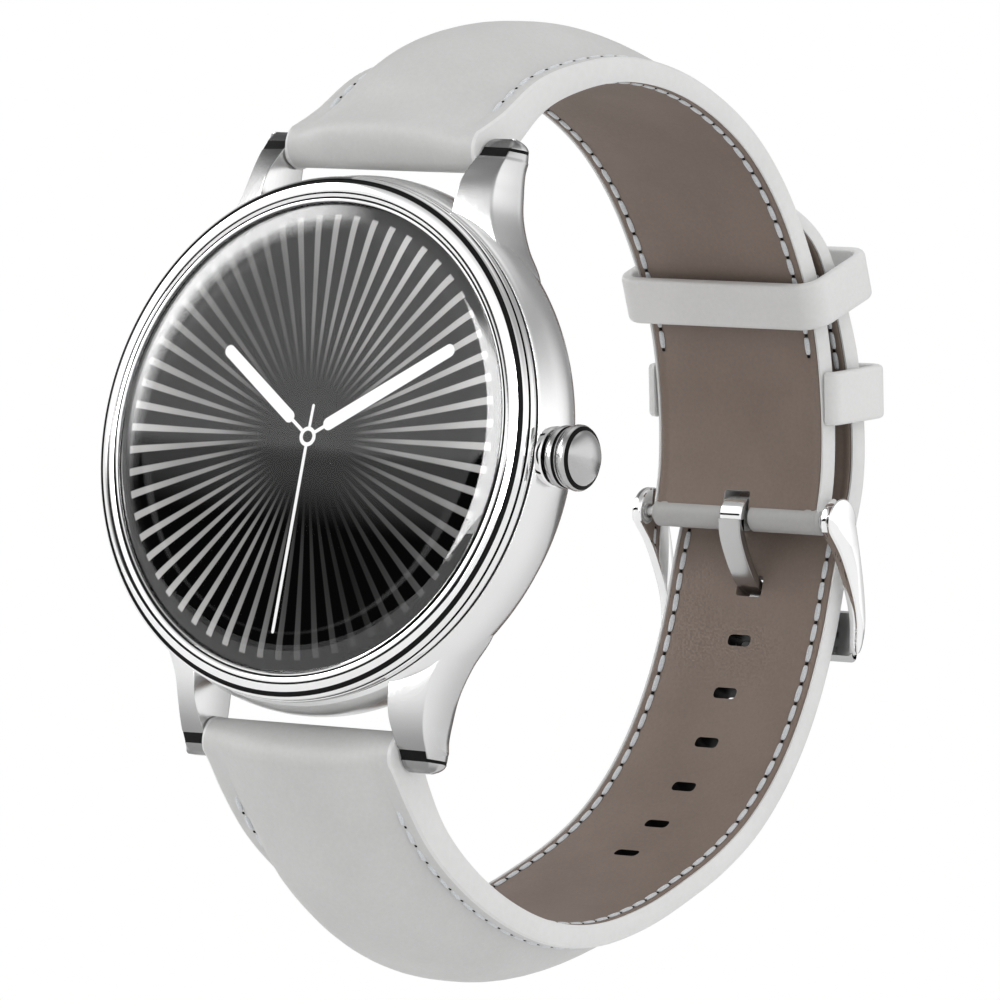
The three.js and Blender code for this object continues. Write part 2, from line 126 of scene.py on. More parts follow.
def catmull_rom(points, count, centripetal=True):
    """A smooth curve through points, sampled evenly by arc length."""
    points = np.array(points, float)
    ends = np.vstack([2 * points[0] - points[1], points, 2 * points[-1] - points[-2]])
    samples = []
    for k in range(len(points) - 1):
        a, b, c, d = ends[k:k + 4]
        steps = [np.linalg.norm(q - p) ** (0.5 if centripetal else 0) for p, q in ((a, b), (b, c), (c, d))]
        t0, t1, t2 = [max(s, 1e-6) for s in steps]
        m1 = ((b - a) / t0 - (c - a) / (t0 + t1) + (c - b) / t1) * t1
        m2 = ((c - b) / t1 - (d - b) / (t1 + t2) + (d - c) / t2) * t1
        u = np.linspace(0, 1, 40, endpoint=False)[:, None]
        samples.append(b + m1 * u + (3 * (c - b) - 2 * m1 - m2) * u ** 2 + (2 * (b - c) + m1 + m2) * u ** 3)
    curve = np.vstack([*samples, points[-1:]])
    run = np.concatenate([[0], np.cumsum(np.linalg.norm(np.diff(curve, axis=0), axis=1))])
    even = np.linspace(0, run[-1], count)
    return np.stack([np.interp(even, run, curve[:, i]) for i in range(curve.shape[1])], 1), run[-1]


def filleted(corners, segments=5):
    """A closed outline from (x, y, radius) corners, each rounded."""
    outline = []
    for k, (x, y, radius) in enumerate(corners):
        here = Vector((x, y))
        before = Vector(corners[k - 1][:2]) - here
        after = Vector(corners[(k + 1) % len(corners)][:2]) - here
        reach = min(radius, 0.45 * before.length, 0.45 * after.length)
        start, end = here + before.normalized() * reach, here + after.normalized() * reach
        for i in range(segments + 1):
            t = i / segments
            outline.append(tuple((1 - t) ** 2 * start + 2 * t * (1 - t) * here + t * t * end))
    return outline


def prism(outline, x0, x1, bevel, steps=3):
    """A YZ outline between two X planes, with rounded rims."""
    flat = np.array(outline)
    tangent = np.roll(flat, -1, 0) - np.roll(flat, 1, 0)
    tangent /= np.linalg.norm(tangent, axis=1)[:, None]
    area = np.sum(flat[:, 0] * np.roll(flat[:, 1], -1) - np.roll(flat[:, 0], -1) * flat[:, 1])
    inward = np.stack([-tangent[:, 1], tangent[:, 0]], 1) * math.copysign(1, area)
    rows = []
    turns = [math.pi / 2 * i / steps for i in range(steps + 1)]
    for side, order in ((x0, turns), (x1, turns[::-1])):
        for turn in order:
            inset = bevel * (1 - math.sin(turn))
            x = side + (1 if side == x0 else -1) * bevel * (1 - math.cos(turn))
            rows.append([(x, *(p + n * inset)) for p, n in zip(flat, inward)])
    points = [p for row in rows for p in row]
    size = len(flat)
    faces = grid_faces(len(rows), size, closed_columns=True)
    faces += [list(range(size))[::-1], [len(points) - size + i for i in range(size)]]
    return points, faces


# ---- Materials ----
class Term:
    """A shader socket that can be written in formulas."""

    def __init__(self, graph, socket):
        self.graph, self.socket = graph, socket

    def __add__(self, other):
        return self.graph.math("ADD", self, other)

    def __sub__(self, other):
        return self.graph.math("SUBTRACT", self, other)

    def __mul__(self, other):
        return self.graph.math("MULTIPLY", self, other)

    def __truediv__(self, other):
        return self.graph.math("DIVIDE", self, other)


class Graph:
    """One material's or world's node tree."""

    def __init__(self, tree):
        self.tree = tree

    def node(self, kind, **settings):
        made = self.tree.nodes.new(kind)
        for key, value in settings.items():
            setattr(made, key, value)
        return made

    def feed(self, socket, value):
        if isinstance(value, Term):
            self.tree.links.new(value.socket, socket)
        else:
            socket.default_value = value

    def math(self, operation, *values):
        made = self.node("ShaderNodeMath", operation=operation)
        for socket, value in zip(made.inputs, values):
            self.feed(socket, value)
        return Term(self, made.outputs[0])

    def step(self, value, low, high):
        """0 below low, 1 above high, smooth between."""
        made = self.node("ShaderNodeMapRange", interpolation_type="SMOOTHSTEP")
        for name, given in (("Value", value), ("From Min", low), ("From Max", high)):
            self.feed(made.inputs[name], given)
        return Term(self, made.outputs[0])

    def position(self):
        """Object-space x, y and z in millimetres."""
        where = self.node("ShaderNodeTexCoord")
        parts = self.node("ShaderNodeSeparateXYZ")
        self.tree.links.new(where.outputs["Object"], parts.inputs[0])
        return [Term(self, out) * (1 / MM) for out in parts.outputs]

    def noise(self, per_mm, detail=3, stretch=(1, 1, 1)):
        where = self.node("ShaderNodeTexCoord")
        mapping = self.node("ShaderNodeMapping")
        mapping.inputs["Scale"].default_value = [per_mm / MM * s for s in stretch]
        made = self.node("ShaderNodeTexNoise")
        made.inputs["Scale"].default_value = 1
        made.inputs["Detail"].default_value = detail
        self.tree.links.new(where.outputs["Object"], mapping.inputs[0])
        self.tree.links.new(mapping.outputs[0], made.inputs["Vector"])
        return Term(self, made.outputs[0])

    def cells(self, per_mm, feature="F1"):
        where = self.node("ShaderNodeTexCoord")
        made = self.node("ShaderNodeTexVoronoi", feature=feature)
        made.inputs["Scale"].default_value = per_mm / MM
        self.tree.links.new(where.outputs["Object"], made.inputs["Vector"])
        return Term(self, made.outputs["Distance"])

    def ramp(self, value, stops):
        """Colour by value, from (place, colour) stops."""
        made = self.node("ShaderNodeValToRGB")
        elements = made.color_ramp.elements
        while len(elements) < len(stops):
            elements.new(0.5)
        for element, (place, colour) in zip(elements, stops):
            element.position = place
            element.color = (*colour, 1)
        self.feed(made.inputs[0], value)
        return Term(self, made.outputs[0])

    def bump(self, height, strength, distance):
        made = self.node("ShaderNodeBump")
        made.inputs["Strength"].default_value = strength
        made.inputs["Distance"].default_value = distance * MM
        self.feed(made.inputs["Height"], height)
        return Term(self, made.outputs[0])


def grey(value):
    return (value, value, value)


def material(name, colour, roughness, metallic=0.0, **inputs):
    """A Principled material, its graph and its shader."""
    made = bpy.data.materials.new(name)
    made.use_nodes = True
    graph = Graph(made.node_tree)
    shader = made.node_tree.nodes["Principled BSDF"]
    shader.inputs["Base Color"].default_value = (*colour, 1)
    shader.inputs["Roughness"].default_value = roughness
    shader.inputs["Metallic"].default_value = metallic
    for key, value in inputs.items():
        shader.inputs[key.replace("_", " ")].default_value = value
    return made, graph, shader


def steel(name, tone, roughness, stretch, wear):
    """Steel with fine polishing lines and faint handling marks."""
    made, graph, shader = material(name, grey(tone), roughness, 1.0)
    lines = graph.noise(3.0, 4, stretch)
    smudge = graph.noise(0.12, 3)
    graph.feed(shader.inputs["Base Color"], graph.ramp(smudge, [
        (0.3, grey(tone - 0.03)), (0.7, (tone + 0.02, tone + 0.02, tone + 0.018))]))
    worn = graph.step(lines * 0.6 + smudge * 0.4, 0.3, 0.7)
    graph.feed(shader.inputs["Roughness"], worn * wear + roughness)
    graph.feed(shader.inputs["Normal"], graph.bump(lines, 0.04, 0.01))
    return made


def case_material():
    """Satin steel with a painted dark reflection: darker toward the lug tips and the back."""
    made = steel("case_steel", 0.86, 0.18, (0.3, 3, 0.3), 0.08)
    graph = Graph(made.node_tree)
    shader = made.node_tree.nodes["Principled BSDF"]
    _, y, z = graph.position()
    height = graph.math("ABSOLUTE", z)
    facing = graph.node("ShaderNodeTexCoord")
    parts = graph.node("ShaderNodeSeparateXYZ")
    graph.tree.links.new(facing.outputs["Normal"], parts.inputs[0])
    front = graph.step(Term(graph, parts.outputs[1]), -0.4, -0.7)
    # Painted dark reflection: front faces darken toward the lug tips, and the whole case darkens toward the
    # back.
    tip_painted_reflection = front * graph.step(height, 19.5, 24.6) * -0.55 + 1.0
    back_painted_reflection = graph.step(y, -8.0, -3.0) * -0.42 + 1.0
    tone = tip_painted_reflection * back_painted_reflection
    blend = graph.node("ShaderNodeMix", data_type="RGBA", blend_type="MULTIPLY")
    blend.inputs["Factor"].default_value = 1.0
    before = shader.inputs["Base Color"].links[0].from_socket
    graph.tree.links.new(before, blend.inputs["A"])
    graph.feed(blend.inputs["B"], tone)
    graph.tree.links.new(blend.outputs["Result"], shader.inputs["Base Color"])
    return made


def leather(name, dark, light, roughness, grain, pore):
    """Leather with fine pebbled grain, pores and a soft change of tone."""
    made, graph, shader = material(name, light, roughness, Specular_IOR_Level=0.35)
    tone = graph.noise(0.12, 4)
    pebbles = graph.cells(pore)
    fine = graph.noise(6.0, 4)
    tones = graph.ramp(tone * 0.8 + pebbles * 0.2, [(0.3, dark), (0.65, light)])
    graph.feed(shader.inputs["Base Color"], tones)
    graph.feed(shader.inputs["Roughness"], fine * 0.12 + (roughness - 0.06))
    graph.feed(shader.inputs["Normal"], graph.bump(pebbles * 0.6 + fine * 0.4, grain, 0.03))
    return made


def moulded(name, colour, roughness, grain=0.15, **inputs):
    """Plain moulded or coated surface with a fine texture."""
    made, graph, shader = material(name, colour, roughness, **inputs)
    fine = graph.noise(8.0, 3)
    graph.feed(shader.inputs["Roughness"], fine * 0.15 + (roughness - 0.07))
    graph.feed(shader.inputs["Normal"], graph.bump(fine, grain, 0.01))
    return made


def thread_material():
    """Pale grey sewing thread with a twist and a little fuzz."""
    made, graph, shader = material("thread", (0.62, 0.64, 0.66), 0.7, Sheen_Weight=0.3)
    x, y, z = graph.position()
    twist = graph.math("SINE", (x + y + z) * 30.0)
    fuzz = graph.noise(12.0, 3)
    tones = graph.ramp(fuzz, [(0.3, (0.5, 0.52, 0.54)), (0.7, (0.72, 0.74, 0.76))])
    graph.feed(shader.inputs["Base Color"], tones)
    graph.feed(shader.inputs["Normal"], graph.bump(twist * 0.5 + fuzz * 0.5, 0.4, 0.04))
    return made


def glass_material(name, tint):
    """Clear glass with faint smudges."""
    made, graph, shader = material(name, tint, 0.0, Transmission_Weight=1.0, IOR=1.46)
    smudge = graph.noise(0.2, 3)
    graph.feed(shader.inputs["Roughness"], graph.step(smudge, 0.45, 0.8) * 0.02)
    return made


RAYS = 60
RAY_INNER, RAY_OUTER = 3.8, 18.65  # radii where the rays start to show and where they end
# Brightness of the rays by share of a turn from 12 o'clock
RAY_TONES = [(0.0, 0.34), (0.07, 0.6), (0.13, 0.5), (0.2, 0.62), (0.26, 0.5), (0.31, 0.2), (0.37, 0.06),
             (0.42, 0.016), (0.5, 0.08), (0.56, 0.42), (0.62, 0.5), (0.72, 0.44), (0.75, 0.56),
             (0.81, 0.34), (0.88, 0.14), (0.94, 0.12), (1.0, 0.34)]


HOUR_ANGLE, MINUTE_ANGLE = -53.8, 59.9  # degrees from 12 o'clock


def display_material():
    """The lit face: rays round a dark dial, with three hands at ten past ten."""
    made, graph, shader = material("display_face", grey(0.0), 0.6, Specular_IOR_Level=0.0)
    x, _, z = graph.position()
    radius = graph.math("SQRT", x * x + z * z)
    turn = graph.math("FRACT", graph.math("ARCTAN2", x, z) / (2 * math.pi) + 1.0)
    place = turn * RAYS
    off = graph.math("ABSOLUTE", place - graph.math("ROUND", place))
    across = off * radius * (2 * math.pi / RAYS)
    half = radius * 0.0165 + 0.015
    ray = graph.step(across - half, 0.05, -0.05)
    ray = ray * graph.step(radius, RAY_INNER, 11.0) * graph.step(radius, RAY_OUTER + 0.1, RAY_OUTER - 0.1)
    tones = graph.ramp(turn, [(share, grey(tone)) for share, tone in RAY_TONES])
    rim = graph.step(radius, 12.0, 18.0) * 0.35 + 0.65
    light = ray * tones * rim + 0.001
    centre = graph.step(radius, 8.0, 1.0) * graph.step(z, -2.1, -1.4) * 0.012
    light = light + centre

    def bar(angle, start, end, width):
        """A round-ended bar along an angle from 12 o'clock."""
        dx, dz = math.sin(math.radians(angle)), math.cos(math.radians(angle))
        along = x * dx + z * dz
        aside = x * dz - z * dx
        past = along - graph.math("MINIMUM", graph.math("MAXIMUM", along, start), end)
        distance = graph.math("SQRT", past * past + aside * aside)
        return graph.step(distance, width / 2 + 0.03, width / 2 - 0.03)

    hands = graph.step(graph.math("ABSOLUTE", radius - 0.66), 0.2, 0.14)
    for hand in (bar(HOUR_ANGLE, 2.7, 11.5, 1.05), bar(HOUR_ANGLE, 0.8, 2.7, 0.3),
                 bar(MINUTE_ANGLE, 2.3, 15.4, 1.1), bar(MINUTE_ANGLE, 0.8, 2.3, 0.3),
                 bar(183.0, 0.75, 16.4, 0.3), bar(4.0, 0.75, 2.6, 0.28)):
        hands = graph.math("MAXIMUM", hands, hand)
    graph.feed(shader.inputs["Emission Color"], graph.ramp(graph.math("MAXIMUM", light, hands), [
        (0.0, grey(0.0)), (0.5, (0.5, 0.495, 0.49)), (1.0, grey(1.0))]))
    shader.inputs["Emission Strength"].default_value = 1.0
    return made


polished_steel = steel("polished_steel", 0.9, 0.03, (0.2, 2.5, 2.5), 0.03)
satin_steel = steel("satin_steel", 0.84, 0.2, (0.3, 3, 0.3), 0.08)
case_steel = case_material()
plain_steel = steel("plain_steel", 0.7, 0.28, (0.3, 3, 3), 0.1)
dark_steel = steel("dark_steel", 0.5, 0.16, (0.3, 3, 3), 0.08)
# Near black: the sensor's real dark windows, and painted shade in the lug and crown grooves, on the bezel's
# shaded steps, in the strap holes and at the needle holes.
black_and_painted_shade = moulded("black_and_painted_shade", grey(0.004), 0.5, Specular_IOR_Level=0.1)
grey_leather = leather("grey_leather", (0.52, 0.52, 0.515), (0.57, 0.57, 0.565), 0.5, 0.12, 2.6)
edge_paint = leather("edge_paint", (0.66, 0.66, 0.655), (0.71, 0.71, 0.705), 0.4, 0.05, 1.5)
keeper_leather = leather("keeper_leather", (0.66, 0.66, 0.655), (0.71, 0.71, 0.705), 0.5, 0.12, 2.6)
# A darker copy of the grey strap leather: painted shade on the leather round the buckle bar and on the walls
# of the tongue's notch.
wrap_leather_painted_shade = leather("wrap_leather_painted_shade", (0.4, 0.4, 0.395), (0.44, 0.44, 0.435), 0.5, 0.12, 2.6)
brown_lining = leather("brown_lining", (0.185, 0.142, 0.118), (0.22, 0.172, 0.145), 0.7, 0.2, 3.2)
thread = thread_material()
cover_glass_look = glass_material("cover_glass_look", grey(1.0))
sensor_glass_look = glass_material("sensor_glass_look", (0.35, 0.36, 0.38))
display_face = display_material()
black_plastic = moulded("black_plastic", grey(0.03), 0.5)
circuit_board = moulded("circuit_board", (0.02, 0.09, 0.05), 0.45, 0.4)
seal_rubber = moulded("seal_rubber", grey(0.02), 0.8, 0.3)
gold_plate = steel("gold_plate", 0.75, 0.2, (1, 1, 1), 0.1)
gold_tones = gold_plate.node_tree.nodes["Color Ramp"].color_ramp.elements
gold_tones[0].color = (0.83, 0.6, 0.25, 1)
gold_tones[1].color = (0.9, 0.68, 0.32, 1)

# ---- CAD nodes that keep their own shape ----
KEPT = {
    plain_steel: ["battery", "vibration_motor", "processor_shield", "crown_stem", "crown_clip", "upper_bar",
                  "upper_release_pin", "lower_bar", "lower_release_pin", "buckle_bar"],
    black_plastic: ["inner_frame", "crown_plunger", "crown_switch"],
    circuit_board: ["display_flex", "main_board", "sensor_board", "switch_board"],
    seal_rubber: ["glass_gasket", "back_gasket", "crown_seal"],
    gold_plate: ["charge_contact_1", "charge_contact_2"],
    satin_steel: ["back_screw_1", "back_screw_2", "back_screw_3", "back_screw_4"],
}
for look, names in KEPT.items():
    for name in names:
        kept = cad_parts[name]
        kept.data.materials.clear()
        kept.data.materials.append(look)


# ---- Case ----
FLANK = [(21.9, 2.2), (22.12, 2.32), (22.3, 2.7), (22.6, 3.6), (22.7, 4.8), (22.6, 5.9), (22.2, 7),
         (21.6, 7.9), (20.9, 8.8), (20.6, 9.2)]
LUG = [  # z, front, outer front, outer x, rear
    (12.5, 3.0, 3.2, 17.6, 6.8), (15, 2.6, 3.2, 16.8, 7), (17.5, 2.4, 3.3, 15, 7.4),
    (20, 2.3, 3.6, 13.8, 7.7), (22.2, 2.8, 4, 13.4, 7.8), (23.7, 3.8, 4.5, 13.3, 7.8),
    (25, 4.9, 5.2, 13.3, 8), (25.9, 5.6, 5.8, 13.2, 7.8), (26.5, 6.3, 6.3, 12.8, 7.1)]
LUG_GROOVE = (24.7, 25.55)  # z of the groove before the tip; its black is painted shade
SIDE_LINE = 25.3  # where it starts on the lug's sides
LUG_MIDDLE_Y = -4.2  # faces in front of this are the lug's front
BEZEL = [  # radius, depth
    (19.72, 1.3), (19.72, 0.25), (19.77, 0.13), (19.87, 0.06), (19.98, 0.07), (20.01, 0.16), (20.12, 0.17),
    (20.15, 0.08), (20.25, 0.03), (20.45, 0.0), (20.7, 0.0), (20.95, 0.03), (21.15, 0.08), (21.33, 0.15),
    (21.38, 0.28), (21.62, 0.42), (21.72, 0.36), (21.82, 0.42), (21.9, 0.52), (21.96, 0.68),
    (21.97, 0.78), (21.93, 0.86), (21.8, 0.89), (21.8, 1.12), (21.93, 1.15), (22.0, 1.24), (22.02, 1.5),
    (22.0, 1.76), (21.92, 1.9), (21.78, 1.94), (21.78, 2.2), (19.1, 2.2), (19.1, 1.65), (19.72, 1.6)]
BEZEL_LINES = (4, 5, 6, 13, 14, 15, 21, 22, 23, 28, 29)  # profile steps that lie in shadow


def lug(sign_x, sign_z):
    """One lug with rounded edges, and a mark for each face that lies in the groove near its tip, painted
    black as shade.
    """
    sections, _ = catmull_rom(LUG, 90)
    rows = []
    for z, front, outer_front, outer, rear in sections:
        outline = filleted([(LUG_INNER_X, front, 0.15), (outer - 0.6, outer_front, 0.2),
                            (outer + 0.2, rear - 1, 0.9), (outer - 0.2, rear, 0.3),
                            (LUG_INNER_X, rear, 0.2)])
        inset = 0.06 if LUG_GROOVE[0] < z < LUG_GROOVE[1] else 0.35 * max(0.0, (z - 26.2) / 0.3) ** 2
        middle = np.mean(outline, axis=0)
        shrunk = middle + (np.array(outline) - middle) * (1 - inset / 2)
        rows.append([(sign_x * x, d - THICKNESS, sign_z * z) for x, d in shrunk])
    size = len(rows[0])
    points = [p for row in rows for p in row]
    faces = grid_faces(len(rows), size, closed_columns=True)
    dark = []
    for a, b, _, _ in faces:
        across = abs(points[b][0] - points[a][0]) > 1.2 * abs(points[b][1] - points[a][1])
        front = across and (points[a][1] + points[b][1]) / 2 < LUG_MIDDLE_Y
        z = abs(points[a][2])
        dark.append((LUG_GROOVE[0] if front else SIDE_LINE) < z < LUG_GROOVE[1])
    faces += [list(range(size)), [len(points) - size + i for i in range(size)]]
    return points, faces, dark + [False, False]


def build_case():
    """Case band with its lugs, bezel, cover glass and the display close behind the glass."""
    outer, _ = catmull_rom(FLANK, 40)
    ring = about_case_axis([*map(tuple, outer), (19.65, 9.2), (19.65, 2.2)], 256)
    lugs = [lug(sx, sz) for sx in (1, -1) for sz in (1, -1)]
    points, faces = joined(ring, *[(p, f) for p, f, _ in lugs])
    marks = [False] * len(ring[1]) + [m for _, _, dark in lugs for m in dark]
    make_piece("case_middle", points, faces, [case_steel, black_and_painted_shade], "case", ["mid_case"],
               sharp=32, marks=marks)

    points, faces = about_case_axis(BEZEL, 256)
    make_piece("bezel", points, faces, [polished_steel, black_and_painted_shade], "case",
               ["bezel_ring"], sharp=30, marks=[k % len(BEZEL) in BEZEL_LINES for k in range(len(faces))])

    rim, _ = catmull_rom([(16, 0), (17.4, 0.0), (18.2, 0.055), (18.8, 0.16), (19.3, 0.29),
                          (19.6, 0.385)], 40)
    points, faces = about_case_axis([(0.001, 0), *map(tuple, rim), (19.66, 0.45), (19.66, 0.75), (18.8, 0.5),
                                     (18.1, 0.37), (17, 0.31), (0.001, 0.3)], 256)
    make_piece("watch_glass", points, faces, cover_glass_look, "case", ["cover_glass"], sharp=50)

    points, faces = about_case_axis([(0.001, 0.34), (17, 0.35), (18.1, 0.41), (18.8, 0.54), (19.3, 0.68),
                                     (19.65, 0.8), (19.65, 1.3), (19.0, 1.4), (19.0, 2.3),
                                     (0.001, 2.3)], 128)
    make_piece("display", points, faces, display_face, "case", ["display_panel"])


def build_back():
    """Back cover, sensor lens and the dark windows under it."""
    points, faces = about_case_axis([
        (12.05, 9.7), (12.05, 10.3), (12.15, 10.37), (15.1, 10.37), (15.2, 10.3), (15.35, 10.3),
        (15.45, 10.36), (19.3, 10.33), (19.7, 10.25), (20.05, 10.05), (20.3, 9.75), (20.4, 9.5),
        (19.5, 9.5), (19.5, 8.9), (11, 8.9), (11, 9.7)], 192)
    make_piece("rear_cover", points, faces, satin_steel, "case", ["back_cover"])
    points, faces = about_case_axis([(0.001, 10.8), (9, 10.8), (10, 10.74), (11.2, 10.5), (11.8, 10.33),
                                     (12, 10.15), (12, 9.76), (0.001, 9.76)], 128)
    make_piece("sensor_lens", points, faces, sensor_glass_look, "case", ["sensor_window"])
    windows = [about_y_disc(0, 0, 2.1, 9.7, 9.74)]
    for k in range(4):
        angle = math.pi / 4 + k * math.pi / 2
        windows.append(about_y_disc(6.2 * math.cos(angle), 6.2 * math.sin(angle), 1.3, 9.7, 9.74))
    points, faces = joined(*windows)
    make_piece("sensor_windows", points, faces, black_and_painted_shade, "case")


def about_y_disc(x, z, radius, low, high, segments=40):
    """A disc parallel to the case back, between two depths."""
    rows = []
    for r, d in ((radius * 0.02, high), (radius, high), (radius, low), (radius * 0.02, low)):
        rows.append([(x + r * math.cos(2 * math.pi * k / segments), d - THICKNESS,
                      z + r * math.sin(2 * math.pi * k / segments)) for k in range(segments)])
    return [p for row in rows for p in row], grid_faces(4, segments, closed_rows=True, closed_columns=True)


CROWN = [  # x, radius
    (24.3, 0.02), (24.3, 0.77), (23.07, 0.77), (23.07, 2.15), (23.12, 2.38), (23.25, 2.54),
    (23.45, 2.6), (23.68, 2.6), (23.82, 2.52), (23.86, 2.38), (23.93, 2.34), (24.0, 2.38),
    (24.04, 2.46), (24.14, 2.52), (24.2, 2.44), (24.26, 2.42), (24.34, 2.5), (24.5, 2.64),
    (24.78, 2.74), (25.04, 2.72), (25.24, 2.6), (25.32, 2.48), (25.36, 2.34), (25.42, 2.26),
    (25.54, 2.18), (25.7, 2.0), (25.86, 1.68), (26.0, 1.24), (26.1, 0.7), (26.14, 0.02)]
CROWN_LINES = (8, 9, 10, 14, 20, 21, 22)  # profile steps in the grooves, painted black as shade


def build_crown():
    """The turning crown, and the collar that stays with the case."""
    points, faces = about_x(CROWN, CROWN_Y, 0, 96)
    make_piece("crown_head", points, faces, [dark_steel, black_and_painted_shade], "crown",
               ["crown_knob"], sharp=34, marks=[k % len(CROWN) in CROWN_LINES for k in range(len(faces))])
    points, faces = about_x([(19.7, 1.15), (19.7, 1.3), (22.2, 1.3), (22.2, 2.5), (22.62, 2.5),
                             (22.74, 2.38), (22.74, 0.85), (21.9, 0.85), (21.9, 1.15)], CROWN_Y, 0, 64)
    make_piece("crown_collar", points, faces, polished_steel, "case", ["crown_tube"])


# ---- Strap ----
class StrapHalf:
    """A strap half: its inner face follows a curve in the YZ plane."""

    def __init__(self, side, points, thickness, crown, rounded_tip=False):
        self.side, self.thickness, self.crown, self.rounded_tip = side, thickness, crown, rounded_tip
        self.curve, self.length = catmull_rom(points, CURVE_STEPS + 1)

    def station(self, f):
        """(y, z) of the point, the run direction and the outward direction at arc fraction f.

        f may lie past an end, where the strap runs straight on.
        """
        inside = min(max(f, 0.0), 1.0)
        i = min(int(inside * CURVE_STEPS), CURVE_STEPS - 1)
        along = self.curve[i + 1] - self.curve[max(i - 1, 0)]
        along /= np.linalg.norm(along)
        at = self.curve[i] + (self.curve[i + 1] - self.curve[i]) * (inside * CURVE_STEPS - i)
        at = at + along * (f - inside) * self.length
        return at, along, np.array([-along[1], along[0]]) * self.side

    def half_width(self, f):
        at, _, _ = self.station(f)
        width = STRAP_HALF - STRAP_TAPER * max(0.0, at[0])
        if self.rounded_tip:
            past = min(max(0.0, (f - TIP) / (1 - TIP)), 1.0)
            width *= 0.1 + 0.9 * math.sqrt(1 - past * past)
        return width

    def place(self, f, x, t):
        """The point x across the strap and t out from its inner face."""
        at, _, out = self.station(f)
        y, z = at + out * t
        return (x, y, z)


def pad(f, middle, spread):
    """A bell that starts low, where the leather is rolled round the spring bar."""
    start = min(f / 0.09, 1.0)
    return math.exp(-(((f - middle) / spread) ** 2)) * (0.3 + 0.7 * start * start * (3 - 2 * start))


# Inner faces from the spring bar on, thickness and height of the padding by arc fraction
UPPER = StrapHalf(
    1, [(-2.9, 23.95), (-0.6, 26.4), (3, 30.3), (8, 33), (14, 34.9), (20.5, 35.5), (27, 34.8), (33.6, 32.7),
        (39, 29.4), (43.6, 25), (47.6, 19.6), (50.4, 13), (51.7, 7.5), (51.85, 4)],
    lambda f: 2.05 + 2.15 * math.exp(-f / 0.1), lambda f: 0.3 + 2.8 * pad(f, 0.17, 0.26))
LOWER = StrapHalf(
    -1, [(-2.9, -23.95), (-0.8, -27), (2.5, -30.3), (7.9, -33.3), (14.3, -35.3), (20.5, -36), (26.8, -35.3),
         (33.4, -33), (39, -30), (43.4, -27.2), (47.2, -24), (50.2, -20.3), (52.5, -16.2), (54.2, -11.5),
         (55.3, -6), (55.7, -1), (56.2, 3.5), (56.5, 7.7), (55.6, 12), (53.4, 17.2), (51.2, 20.9),
         (48.8, 23.9), (46.2, 26.8), (44, 29.3), (42.9, 31)],
    lambda f: 2.05 + 2.15 * math.exp(-f / 0.06) - max(0.0, f - 0.86) * 6,
    lambda f: 0.3 * (1 - f) + 4.4 * pad(f, 0.14, 0.19), rounded_tip=True)

BORDER = 1.75  # flat border outside the padding
DOME = 2.7  # how square the padding's cross section is
PAD_COLUMNS = 22


def leather_section(half, f, squeeze=1.0, middle=None):
    """(x, t) points round the leather: a channel for the lining, painted edges, flat border and padding."""
    w = half.half_width(f)
    top = half.thickness(f)
    border = min(BORDER, w * 0.3)
    rise = half.crown(f)
    inside = w - border
    outer = []
    for k in range(PAD_COLUMNS + 1):
        u = 1 - 2 * k / PAD_COLUMNS
        u = math.copysign(abs(u) ** 0.8, u)
        outer.append((u * inside, top - 0.05 + (rise + 0.05) * (1 - abs(u) ** DOME)))
    edge = min(0.5, top * 0.3)
    near = min(1.0, w / 4)  # brings the corners in where the tail ends
    right = [(w - 0.42 * near, 0.3 * near), (w - 0.3 * near, 0.05), (w - 0.12 * near, 0.04), (w, edge),
             (w, top - edge), (w - 0.1 * near, top - edge * 0.35), (w - border * 0.2, top - 0.03),
             (w - border * 0.4, top), (w - border * 0.83, top - 0.02)]
    left = [(-x, t) for x, t in reversed(right)]
    section = right + outer + left
    if middle is not None:
        section = [(x, middle + (t - middle) * squeeze) for x, t in section]
    return section


EDGE_COLUMNS = 6  # columns of each side that carry edge paint


def strap_leather(name, half, body, replaced, bar_end):
    """The leather of a strap half as one closed skin, with a roll at the spring bar."""
    rows = []
    turns = [math.pi / 2 * k / 8 for k in range(8, 0, -1)]
    for turn in turns:
        f = -ROLL_R * math.sin(turn) / half.length
        rows.append((f, leather_section(half, 0, max(math.cos(turn), 0.02), 2.1)))
    steps = int(half.length / 0.55)
    rows += [(k / steps, leather_section(half, k / steps)) for k in range(steps + 1)]
    if bar_end:
        for turn in turns[::-1]:
            f = 1 + (0.35 + BAR_WRAP * math.sin(turn)) / half.length
            rows.append((f, leather_section(half, 1, max(math.cos(turn), 0.02), 1.15)))
    size = len(rows[0][1])
    points = [half.place(f, x, t) for f, section in rows for x, t in section]
    faces = grid_faces(len(rows), size, closed_columns=True)
    columns = [j % size for j in range(len(faces))]
    painted = [j < EDGE_COLUMNS or size - EDGE_COLUMNS - 1 <= j < size - 1 for j in columns]
    faces += [list(range(size)), [len(points) - size + i for i in range(size)]]
    return make_piece(name, points, faces, [grey_leather, edge_paint], body, replaced, sharp=50,
                      marks=painted + [False, half.rounded_tip])


STITCH_IN = 1.2  # stitch row from the edge on the lining
STITCH_OUT = 1.45  # stitch row from the edge on the outside


def lining_section(half, f):
    """(x, t) points round the lining, with a shallow channel under each row of stitches."""
    w = half.half_width(f) - 0.4
    row = half.half_width(f) - STITCH_IN
    right = [(w, 0.36), (w, 0.12), (w - 0.12, 0.03), (row + 0.42, 0.0), (row + 0.2, 0.09),
             (row - 0.2, 0.09), (row - 0.42, 0.0), (row * 0.5, 0.0), (0, 0.0)]
    return right + [(-x, t) for x, t in reversed(right[:-1])]


